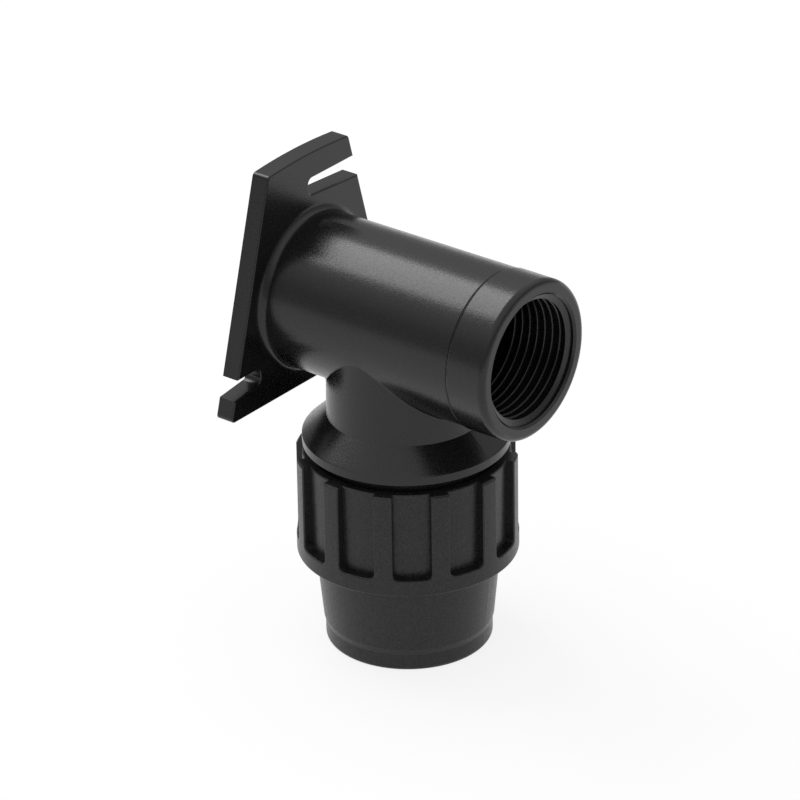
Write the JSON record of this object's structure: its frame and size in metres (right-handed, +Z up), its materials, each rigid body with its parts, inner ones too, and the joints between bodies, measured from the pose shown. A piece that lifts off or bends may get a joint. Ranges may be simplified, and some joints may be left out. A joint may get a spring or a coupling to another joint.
{
  "type": "wall plate elbow",
  "caption": "Plastic compression elbow with a slotted wall plate: a threaded outlet leaves the wall, and a ribbed nut below clamps a polyethylene pipe.",
  "frame": {"origin": "on the back of the wall plate, where the axis of the threaded outlet meets the wall", "axes": "+X out of the wall along the outlet axis, +Z up, -Z the way the pipe leaves"},
  "size_m": [0.0585, 0.0508, 0.0984],
  "materials": {
    "body_plastic": "black polypropylene, semi-gloss as moulded",
    "nut_plastic": "black polypropylene, fine spark-eroded grain",
    "ring_plastic": "natural white acetal",
    "bushing_plastic": "black polypropylene, plain",
    "seal_rubber": "black nitrile rubber, smooth"
  },
  "bodies": {
    "body": {"elbow_body": "body_plastic", "seal_ring": "seal_rubber", "press_bushing": "bushing_plastic"},
    "grip": {"grip_ring": "ring_plastic"},
    "nut": {"compression_nut": "nut_plastic"}
  },
  "joints": [
    {"name": "ring_slide", "type": "slide", "parent": "body", "child": "grip", "axis": [0, 0, 1], "range_m": [-0.01, 0.0015]},
    {"name": "nut_turn", "type": "hinge", "parent": "grip", "child": "nut", "pos_m": [0.02705, 0, -0.045], "axis": [0, 0, 1], "range_deg": [-900, 135]}
  ],
  "couplings": [
    {"joint": "ring_slide", "follows": "nut_turn", "m_per_rad": 0.00063662}
  ]
}
